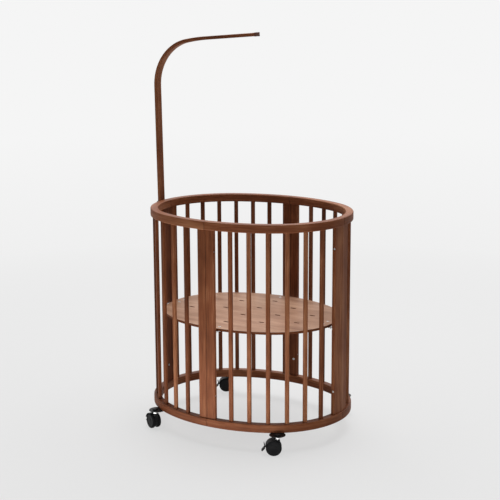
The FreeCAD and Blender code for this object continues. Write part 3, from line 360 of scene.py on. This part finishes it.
# moulded plastic of the casters, the rod's holder and its end plug
plastic = {
    "black": (0.0078, 0.0078, 0.0082),
    # partly the plug's own brown, partly painted shade of the rod's cut end
    "brown": (0.085, 0.030, 0.016),
    "roughness": 0.48,
    "plateRoughness": 0.34,
    "roughnessSway": 0.15,
    "specular": 0.12,
    "grain": {"scale": 1400.0, "detail": 2.0, "harshness": 0.6},
    "haze": {"scale": 38.0, "detail": 3.0, "harshness": 0.55},
    "hazeDark": 0.85,
    "hazeDarkAt": 0.3,
    "hazeLight": 1.25,
    "hazeLightAt": 0.7,
    "bump": 0.10,
    "bumpDepth": 0.0002,
}


def mouldedPlastic(name, colour, roughness):
    material, wiring, shader = newMaterial(name, Specular_IOR_Level=plastic["specular"])
    place = wiring.vector(*ownPlace(wiring))
    haze = wiring.noise(place, plastic["haze"])
    shade = wiring.ramp(
        haze,
        (plastic["hazeDarkAt"], scaled(colour, plastic["hazeDark"])),
        (plastic["hazeLightAt"], scaled(colour, plastic["hazeLight"])),
    )
    wiring.feed(shader.inputs["Base Color"], shade)
    wiring.feed(shader.inputs["Roughness"], wiring.sway(roughness, haze, plastic["roughnessSway"]))
    relief(wiring, shader, plastic, wiring.noise(place, plastic["grain"]))
    return material


# soft tread, with a little floor dust on it
tread = {
    "colour": (0.006, 0.006, 0.0065),
    "dust": (0.035, 0.032, 0.029),
    "dusting": {"scale": 70.0, "detail": 4.0, "harshness": 0.65},
    "dustFrom": 0.55,
    "dustTo": 0.8,
    "dustShare": 0.35,
    "roughness": 0.70,
    "roughnessSway": 0.2,
    "specular": 0.12,
    "grain": {"scale": 900.0, "detail": 3.0, "harshness": 0.6},
    "bump": 0.15,
    "bumpDepth": 0.0002,
}


def softTread(name):
    material, wiring, shader = newMaterial(name, Specular_IOR_Level=tread["specular"])
    place = wiring.vector(*ownPlace(wiring))
    grain = wiring.noise(place, tread["grain"])
    dust = wiring.between(wiring.noise(place, tread["dusting"]), tread["dustFrom"], tread["dustTo"])
    amount = wiring.maths("MULTIPLY", dust, tread["dustShare"])
    colour = wiring.blendColour(amount, (*tread["colour"], 1.0), (*tread["dust"], 1.0))
    wiring.feed(shader.inputs["Base Color"], colour)
    wiring.feed(shader.inputs["Roughness"], wiring.sway(tread["roughness"], grain, tread["roughnessSway"]))
    relief(wiring, shader, tread, grain)
    return material


# zinc-plated steel of the screws, bolts, inserts, brackets, stems and axles
zinc = {
    "colour": (0.84, 0.84, 0.83),
    "spangle": {"scale": 260.0, "detail": 3.0, "harshness": 0.6},
    "spangleDark": 0.82,
    "spangleDarkAt": 0.3,
    "spangleLightAt": 0.7,
    "roughness": 0.33,
    "roughnessSway": 0.2,
    "scratch": {"scale": 700.0, "detail": 2.0, "harshness": 0.5},
    "scratchStretch": 9.0,
    "bump": 0.05,
    "bumpDepth": 0.0002,
}


def zincSteel(name):
    material, wiring, shader = newMaterial(name, Metallic=1.0)
    x, y, z = ownPlace(wiring)
    spangle = wiring.noise(wiring.vector(x, y, z), zinc["spangle"])
    colour = wiring.ramp(
        spangle,
        (zinc["spangleDarkAt"], scaled(zinc["colour"], zinc["spangleDark"])),
        (zinc["spangleLightAt"], zinc["colour"]),
    )
    wiring.feed(shader.inputs["Base Color"], colour)
    wiring.feed(shader.inputs["Roughness"], wiring.sway(zinc["roughness"], spangle, zinc["roughnessSway"]))
    brushed = wiring.vector(x, y, wiring.maths("MULTIPLY", z, zinc["scratchStretch"]))
    relief(wiring, shader, zinc, wiring.noise(brushed, zinc["scratch"]))
    return material


blackPlastic = mouldedPlastic("blackPlastic", plastic["black"], plastic["roughness"])
platePlastic = mouldedPlastic("platePlastic", plastic["black"], plastic["plateRoughness"])
capPlastic = mouldedPlastic("capPlastic", plastic["brown"], plastic["roughness"])
wheelTread = softTread("wheelTread")
zincPlated = zincSteel("zincPlated")

finishes = {
    "top_rail": railWood,
    "bottom_rail": railWood,
    "end_board": uprightWood,
    "side_board": uprightWood,
    "slats": uprightWood,
    "drape_rod": rodWood,
    "mattress_base": panelWood,
    "caster_wheels": wheelTread,
    "rod_tip_cap": capPlastic,
    "caster_plate": platePlastic,
    "caster_hood": blackPlastic,
    "brake_lever": blackPlastic,
    "rod_holder_screws": zincPlated,  # ahead of the holder, whose name begins the same
    "rod_holder": blackPlastic,
}
for name, piece in crib.items():
    finish = next((finishes[start] for start in finishes if name.startswith(start)), zincPlated)
    piece.data.materials.clear()
    piece.data.materials.append(finish)
print("finishes on the frame")

sharpAngle = 38  # degrees, steeper edges stay crisp


def pieceFrom(form, name, body, materials, node):
    bmesh.ops.recalc_face_normals(form, faces=form.faces)
    mesh = bpy.data.meshes.new(name)
    form.to_mesh(mesh)
    form.free()
    mesh.set_sharp_from_angle(angle=math.radians(sharpAngle))
    for material in materials:
        mesh.materials.append(material)
    piece = bpy.data.objects.new(name, mesh)
    bpy.context.collection.objects.link(piece)
    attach(piece, body)
    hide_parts(node)
    return piece


def flatFaces(piece):
    piece.modifiers.new("flatFaces", "WEIGHTED_NORMAL").keep_sharp = True


# joins rings of equal count into a closed skin, with a face over each end
def skin(form, rings):
    for first, second in zip(rings, rings[1:]):
        for step in range(len(first)):
            after = (step + 1) % len(first)
            form.faces.new((first[step], first[after], second[after], second[step])).smooth = True
    form.faces.new(rings[0])
    form.faces.new(rings[-1])


def ringAt(form, place, height, radii):
    turns = [2 * math.pi * step / len(radii) for step in range(len(radii))]
    return [
        form.verts.new(place @ Vector((radius * math.cos(turn), radius * math.sin(turn), height)))
        for radius, turn in zip(radii, turns)
    ]


def seatOn(middle, axis):
    return Matrix.Translation(middle) @ axis.to_track_quat("Z", "X").to_matrix().to_4x4()


# bent rails: four quarters above and four below, each swept along its part of the oval
railForm = {
    "topRound": 0.0042,
    "bottomRound": 0.0034,
    "roundSteps": 4,
    "stations": 30,  # along each of the two arcs in a quarter
    "seamGap": 0.00012,
    "seamChamfer": 0.0010,
}


def railSection(low, high, rounding, inset=0.0):
    near, far = inset, oval["railWidth"] - inset
    foot, top, radius = low + inset, high - inset, rounding - inset
    corners = (
        (far - radius, top - radius, 0),
        (near + radius, top - radius, 90),
        (near + radius, foot + radius, 180),
        (far - radius, foot + radius, 270),
    )
    points = []
    for depth, height, start in corners:
        for step in range(railForm["roundSteps"] + 1):
            angle = math.radians(start + 90 * step / railForm["roundSteps"])
            points.append((depth + radius * math.cos(angle), height + radius * math.sin(angle)))
    return points


# share runs from 0 to 1 along the end arc and from 1 to 2 along the side arc
def ovalPoint(share, depth):
    if share <= 1:
        angle, reach = share * oval["turn"], oval["endRadius"] - depth
        return oval["endCentre"] + reach * math.cos(angle), reach * math.sin(angle)
    angle = oval["turn"] + (share - 1) * (math.pi / 2 - oval["turn"])
    reach = oval["sideRadius"] - depth
    return reach * math.cos(angle), reach * math.sin(angle) - oval["sideCentre"]


def bentRail(node, name, rounding):
    low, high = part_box(node)
    signX = 1 if high.x > -low.x else -1
    signY = 1 if high.y > -low.y else -1
    endLength = oval["endRadius"] * oval["turn"]
    sideLength = oval["sideRadius"] * (math.pi / 2 - oval["turn"])
    full = railSection(low.z, high.z, rounding)
    small = railSection(low.z, high.z, rounding, railForm["seamChamfer"])
    gap, cut = railForm["seamGap"], railForm["seamGap"] + railForm["seamChamfer"]
    steps = railForm["stations"]
    stations = [(gap / endLength, small), (cut / endLength, full)]
    stations += [(step / steps, full) for step in range(1, 2 * steps)]
    stations += [(2 - cut / sideLength, full), (2 - gap / sideLength, small)]
    form = bmesh.new()
    rings = []
    for share, section in stations:
        places = [(*ovalPoint(share, depth), height) for depth, height in section]
        rings.append([form.verts.new((signX * x, signY * y, z)) for x, y, z in places])
    skin(form, rings)
    flatFaces(pieceFrom(form, name, "crib", (railWood,), node))


for node in [name for name in crib if name.startswith(("top_rail_", "bottom_rail_"))]:
    level, corner = node.split("_rail_")
    bentRail(node, f"{level}Rail_{corner}", railForm[f"{level}Round"])
print("rails bent")

# plug in the free end of the drape rod, flush with the cut; its dark brown is partly its own colour and
# partly painted shade of the rod's cut end
rodPlug = {
    "thickness": 0.0042,
    "wide": 0.0348,
    "tall": 0.0154,
    "round": 0.0011,
    "roundSteps": 3,
    "facing": 0.95,
    "flush": 1e-5,
}


def endPlug():
    faces = [face for face in crib["rod_tip_cap"].data.polygons if face.normal.x > rodPlug["facing"]]
    furthest = max(faces, key=lambda face: face.center.x)
    ahead = [(face.center - furthest.center).dot(furthest.normal) for face in faces]
    flush = [face for face, distance in zip(faces, ahead) if distance > -rodPlug["flush"]]
    whole = sum(face.area for face in flush)
    outward = sum((face.normal * face.area for face in flush), Vector()).normalized()
    centre = sum((face.center * face.area for face in flush), Vector()) / whole
    sideways = Vector((0.0, 1.0, 0.0))
    place = Matrix((outward, sideways, outward.cross(sideways))).transposed().to_4x4()
    place.translation = centre - outward * rodPlug["thickness"] / 2
    size = Matrix.Diagonal((rodPlug["thickness"], rodPlug["wide"], rodPlug["tall"], 1.0))
    form = bmesh.new()
    bmesh.ops.create_cube(form, size=1.0, matrix=place @ size)
    bmesh.ops.bevel(
        form, geom=form.edges[:], offset=rodPlug["round"], segments=rodPlug["roundSteps"],
        profile=0.5, affect="EDGES",
    )
    for face in form.faces:
        face.smooth = True
    flatFaces(pieceFrom(form, "rodEndPlug", "rod", (capPlastic,), "rod_tip_cap"))


endPlug()
print("rod plugged")

# caster wheels: a moulded disc inside a soft tread, two on each axle
# each pair is millimetres out from the axle and along it
wheelForm = {
    "segments": 72,
    "blindBore": ((0.0, 16.4), (3.6, 16.4), (3.6, 6.5)),
    "innerFace": ((10.0, 6.5), (10.5, 6.9), (24.6, 6.9), (25.1, 6.5)),
    "tread": (
        (28.2, 6.6), (29.4, 7.3), (29.9, 8.6), (30.0, 10.2), (29.6, 10.45), (29.6, 10.75), (30.0, 11.0),
        (30.0, 14.0), (29.6, 15.8), (28.6, 17.4), (27.0, 18.5), (25.2, 18.9),
    ),
    "outerFace": (
        (24.7, 18.7), (24.4, 18.2), (23.9, 18.2), (23.6, 18.7), (23.1, 18.5), (18.0, 17.9), (12.0, 17.6),
        (11.0, 17.7), (10.6, 18.2), (8.5, 18.6), (4.0, 18.75), (0.0, 18.8),
    ),
}


def turnedWheel(form, place):
    count = wheelForm["segments"]
    rings, onTread = [], []
    for part in ("blindBore", "innerFace", "tread", "outerFace"):
        for radius, height in wheelForm[part]:
            rings.append(ringAt(form, place, height / 1000, [radius / 1000] * (count if radius else 1)))
            onTread.append(part == "tread")
    for first, second, onTreadBand in zip(rings, rings[1:], onTread[1:]):
        for step in range(count):
            after = (step + 1) % count
            corners = (first[step % len(first)], first[after % len(first)],
                       second[after % len(second)], second[step % len(second)])
            face = form.faces.new(list(dict.fromkeys(corners)))
            face.smooth = True
            face.material_index = 0 if onTreadBand else 1


def casterWheels():
    for joint in frame["joints"]:
        if not joint["name"].startswith("wheel_spin_"):
            continue
        corner = joint["name"].removeprefix("wheel_spin_")
        middle, axle = Vector(joint["pos_m"]), Vector(joint["axis"])
        form = bmesh.new()
        for outward in (axle, -axle):
            turnedWheel(form, seatOn(middle, outward))
        pieceFrom(form, f"wheelPair_{corner}", f"wheels_{corner}",
                  (wheelTread, blackPlastic), f"caster_wheels_{corner}")


casterWheels()
print("caster wheels turned")

# screws, bolts and sleeve nuts, with real threads and driver recesses
screwForm = {
    "segments": 24,
    "threadRings": 5,  # rings to each turn of the thread
    "machine": {"pitch": 0.0010, "depth": 0.00055, "tip": 0.0008, "blunt": 0.80},
    "wood": {"pitch": 0.0018, "depth": 0.00065, "tip": 0.0045, "blunt": 0.08},
    "tipShare": 0.8,
    "boltThread": 0.020,
    "headRound": 0.0006,
    "headEdge": 0.0002,
    "hexShare": 0.46,
    "crossReach": 0.52,
    "crossArm": 0.15,
    "recessDepth": 0.62,
    "recessFloor": 0.0001,
    "recessTaper": 0.85,
    "recessFlare": 1.07,
    "sleeveEdge": 0.0003,
    "sleeveBore": 0.00305,
}
reading = {"join": 2e-6, "end": 1e-4, "level": 3e-5, "digits": 5}  # how closely the frame's screws are read


# the vertices of each separate solid of a mesh
def separately(form):
    left = dict.fromkeys(form.verts)
    while left:
        found, edge = [], [next(iter(left))]
        del left[edge[0]]
        while edge:
            vertex = edge.pop()
            found.append(vertex)
            for link in vertex.link_edges:
                near = link.other_vert(vertex)
                if near in left:
                    del left[near]
                    edge.append(near)
        yield found


# centre, axis towards the head, and the heights of each turned solid with its radius there
def solidsOf(node):
    form = bmesh.new()
    form.from_mesh(crib[node].data)
    bmesh.ops.remove_doubles(form, verts=form.verts, dist=reading["join"])
    for found in separately(form):
        faces = dict.fromkeys(face for vertex in found for face in vertex.link_faces)
        areas = np.array([face.calc_area() for face in faces])
        normals = np.array([face.normal for face in faces])
        middles = np.array([face.calc_center_median() for face in faces])
        spread, ways = np.linalg.eigh((normals * areas[:, None]).T @ normals)
        odd = 2 if spread[2] - spread[1] > spread[1] - spread[0] else 0
        axis = ways[:, odd]
        centre = (middles * areas[:, None]).sum(0) / areas.sum()
        points = np.array([vertex.co for vertex in found]) - centre
        along = points @ axis
        radius = np.linalg.norm(points - np.outer(along, axis), axis=1)
        topRadius = radius[along > along.max() - reading["end"]].max()
        footRadius = radius[along < along.min() + reading["end"]].max()
        if topRadius < footRadius:
            axis, along = -axis, -along
        heights = []
        for height in np.unique(np.round(along, reading["digits"])):
            if not heights or height - heights[-1] > reading["level"]:
                heights.append(float(height))
        widest = [float(radius[np.abs(along - height) < reading["level"]].max()) for height in heights]
        yield Vector(centre), Vector(axis), heights, widest
    form.free()


def recessPoint(kind, headRadius, turn):
    if kind == "hex":
        sixth = (turn + math.pi / 6) % (math.pi / 3) - math.pi / 6
        return headRadius * screwForm["hexShare"] / math.cos(sixth)
    reach, arm = screwForm["crossReach"] * headRadius, screwForm["crossArm"] * headRadius
    wide, tall = [max(abs(part), 1e-6) for part in (math.cos(turn), math.sin(turn))]  # never quite zero
    return max(min(reach / wide, arm / tall), min(reach / tall, arm / wide))


# a profile lists rings from the recess in the head down to the point: a height and its radii
def evenRing(height, radius):
    return height, [radius] * screwForm["segments"]


def headProfile(foot, top, headRadius, recess):
    count = screwForm["segments"]
    slot = [recessPoint(recess, headRadius, 2 * math.pi * step / count) for step in range(count)]
    deep = top - screwForm["recessDepth"] * (top - foot)
    rounding, edge = screwForm["headRound"], screwForm["headEdge"]
    profile = [
        (deep, scaled(slot, screwForm["recessTaper"])),
        (deep + screwForm["recessFloor"], slot),
        (top - edge, slot),
        (top, scaled(slot, screwForm["recessFlare"])),
    ]
    for degrees in (0, 30, 60, 90):
        angle = math.radians(degrees)
        height = top - rounding * (1 - math.cos(angle))
        profile.append(evenRing(height, headRadius - rounding * (1 - math.sin(angle))))
    return profile + [evenRing(foot + edge, headRadius), evenRing(foot, headRadius - edge)]


def threadProfile(start, point, shankRadius, thread):
    perTurn, count = screwForm["threadRings"], screwForm["segments"]
    pitchStep = thread["pitch"] / perTurn
    profile = []
    for index in range(1, int((start - point) / pitchStep)):
        height = start - index * pitchStep
        taper = min(1.0, thread["blunt"] + (1 - thread["blunt"]) * (height - point) / thread["tip"])
        cut = thread["depth"] * min(1.0, index / perTurn)
        winding = [(index / perTurn + step / count) % 1.0 for step in range(count)]
        radii = [taper * (shankRadius - cut * (1 - abs(2 * share - 1))) for share in winding]
        profile.append((height, radii))
    return profile


def screwProfile(heights, headRadius, shankRadius, kind, recess, plain):
    point, foot, top = heights[0], heights[-2], heights[-1]
    thread = screwForm[kind]
    profile = headProfile(foot, top, headRadius, recess) + [evenRing(foot, shankRadius)]
    if plain:
        profile.append(evenRing(foot - plain, shankRadius))
    profile += threadProfile(foot - plain, point, shankRadius, thread)
    return profile + [evenRing(point, shankRadius * thread["blunt"] * screwForm["tipShare"])]


def sleeveProfile(heights, headRadius, sleeveRadius, recess):
    point, foot, top = heights[0], heights[-2], heights[-1]
    edge, bore = screwForm["sleeveEdge"], screwForm["sleeveBore"]
    return headProfile(foot, top, headRadius, recess) + [
        evenRing(foot, sleeveRadius),
        evenRing(point + edge, sleeveRadius),
        evenRing(point, sleeveRadius - edge),
        evenRing(point, bore),
        evenRing(foot, bore),
    ]


fasteners = {
    "base_screws": {"body": "base", "kind": "machine", "recess": "hex", "shank": 0.0030},
    "bracket_screws": {"body": "crib", "kind": "machine", "recess": "hex", "shank": 0.0030},
    "panel_bolts": {"body": "crib", "kind": "machine", "recess": "hex", "shank": 0.0030},
    "panel_sleeve_nuts": {"body": "crib", "kind": "sleeve", "recess": "hex", "shank": 0.0040},
    "rod_holder_screws": {"body": "crib", "kind": "wood", "recess": "cross", "shank": 0.0020},
    "caster_screws": {"body": "crib", "kind": "wood", "recess": "cross", "shank": 0.0020},
}
for node, fastener in fasteners.items():
    kind, recess, shank = fastener["kind"], fastener["recess"], fastener["shank"]
    form = bmesh.new()
    count = 0
    for centre, axis, heights, widest in solidsOf(node):
        if kind == "sleeve":
            profile = sleeveProfile(heights, widest[-1], shank, recess)
        else:
            long = heights[-2] - heights[0]
            plain = max(0.0, long - screwForm["boltThread"]) if node == "panel_bolts" else 0.0
            profile = screwProfile(heights, widest[-1], shank, kind, recess, plain)
        place = seatOn(centre, axis)
        skin(form, [ringAt(form, place, height, radii) for height, radii in profile])
        count += 1
    pieceFrom(form, node.replace("_", "") + "Turned", fastener["body"], (zincPlated,), node)
    print(node, count, "turned")

# pale floor and backdrop, which show the same in mirrors and to the eye
studio = {
    "floor": 0.70,
    "floorRadius": 60.0,
    "floorSegments": 96,
    "floorRoughness": 0.75,
    "floorSpecular": 0.2,
    "near": 0.806,
    "middle": 0.863,
    "middleAt": 0.57,
    "far": 0.913,
    "shadeFrom": -0.1,  # as powers of ten of the metres from the crib
    "shadeTo": 1.0,
    "nearGlow": 0.76,
    "fadeFrom": 1.3,  # the crib's shadow fades out between these metres
    "fadeTo": 3.6,
    "fill": 0.07,
}


def paleFloor():
    mesh = bpy.data.meshes.new("floor")
    form = bmesh.new()
    bmesh.ops.create_circle(
        form, cap_ends=True, segments=studio["floorSegments"], radius=studio["floorRadius"]
    )
    form.to_mesh(mesh)
    form.free()
    floor = bpy.data.objects.new("floor", mesh)
    bpy.context.collection.objects.link(floor)
    material, wiring, shader = newMaterial(
        "paleFloor", Base_Color=grey(studio["floor"]), Roughness=studio["floorRoughness"],
        Specular_IOR_Level=studio["floorSpecular"],
    )
    x, y, z = ownPlace(wiring)
    reach = wiring.length(x, y, 0.0)
    away = wiring.between(reach, studio["fadeFrom"], studio["fadeTo"])
    fade = wiring.maths("ADD", studio["nearGlow"], wiring.maths("MULTIPLY", away, 1.0 - studio["nearGlow"]))
    distance = wiring.between(
        wiring.maths("LOGARITHM", reach, 10.0), studio["shadeFrom"], studio["shadeTo"]
    )
    shade = wiring.ramp(
        distance, (0.0, grey(studio["near"])), (studio["middleAt"], grey(studio["middle"])),
        (1.0, grey(studio["far"])),
    )
    glow = wiring.add("ShaderNodeEmission", Color=shade, Strength=1.0)
    surface = shader.outputs[0].links[0].to_socket
    wiring.feed(surface, wiring.mixShaders(wiring.maths("MULTIPLY", fade, wiring.seen()), shader, glow))
    mesh.materials.append(material)


def surroundings():
    world = bpy.data.worlds.new("studioWorld")
    bpy.context.scene.world = world
    world.use_nodes = True
    world.node_tree.nodes.clear()
    wiring = Wiring(world.node_tree)
    fill = wiring.add("ShaderNodeBackground", Color=grey(1.0), Strength=studio["fill"])
    shown = wiring.add("ShaderNodeBackground", Color=grey(studio["far"]), Strength=1.0)
    wiring.add("ShaderNodeOutputWorld", Surface=wiring.mixShaders(wiring.seen(), fill, shown))


paleFloor()
surroundings()

# soft lamps: one above, one in front, and one near the floor that faces up like its glow
lamps = {
    "overhead": {"place": (-0.3, 1.0, 4.2), "aim": (0, 0, 0.4), "size": (4.0, 4.0), "power": 260.0},
    "frontFill": {"place": (2.2, -4.0, 1.5), "aim": (0, 0, 0.6), "size": (3.0, 3.0), "power": 22.0},
    "floorGlow": {"place": (0.1, -0.72, 0.004), "aim": (0.1, -0.71, 1.0), "size": (1.6, 0.5), "power": 12.0},
}


def softLamp(name, place, aim, size, power):
    lamp = bpy.data.lights.new(name, "AREA")
    lamp.shape = "RECTANGLE"
    lamp.size, lamp.size_y = size
    lamp.energy = power
    holder = bpy.data.objects.new(name, lamp)
    bpy.context.collection.objects.link(holder)
    holder.location = place
    holder.visible_camera = False
    holder.rotation_euler = (Vector(aim) - Vector(place)).to_track_quat("-Z", "Y").to_euler()


for name, lamp in lamps.items():
    softLamp(name, **lamp)

lens = {
    "place": (2.5210, -4.1252, 1.7317),
    "forward": (-0.51082, 0.83424, -0.20763),
    "roll": -0.246,
    "mm": 90.37,
    "sensor": 36.0,
}
camera = bpy.data.objects.new("camera", bpy.data.cameras.new("camera"))
bpy.context.collection.objects.link(camera)
camera.data.lens = lens["mm"]
camera.data.sensor_width = lens["sensor"]
camera.location = lens["place"]
aimed = Vector(lens["forward"]).to_track_quat("-Z", "Y").to_matrix()
camera.rotation_euler = (aimed @ Matrix.Rotation(math.radians(lens["roll"]), 3, "Z")).to_euler()
bpy.context.scene.camera = camera
bpy.context.scene.view_settings.view_transform = "Standard"
print("studio ready")
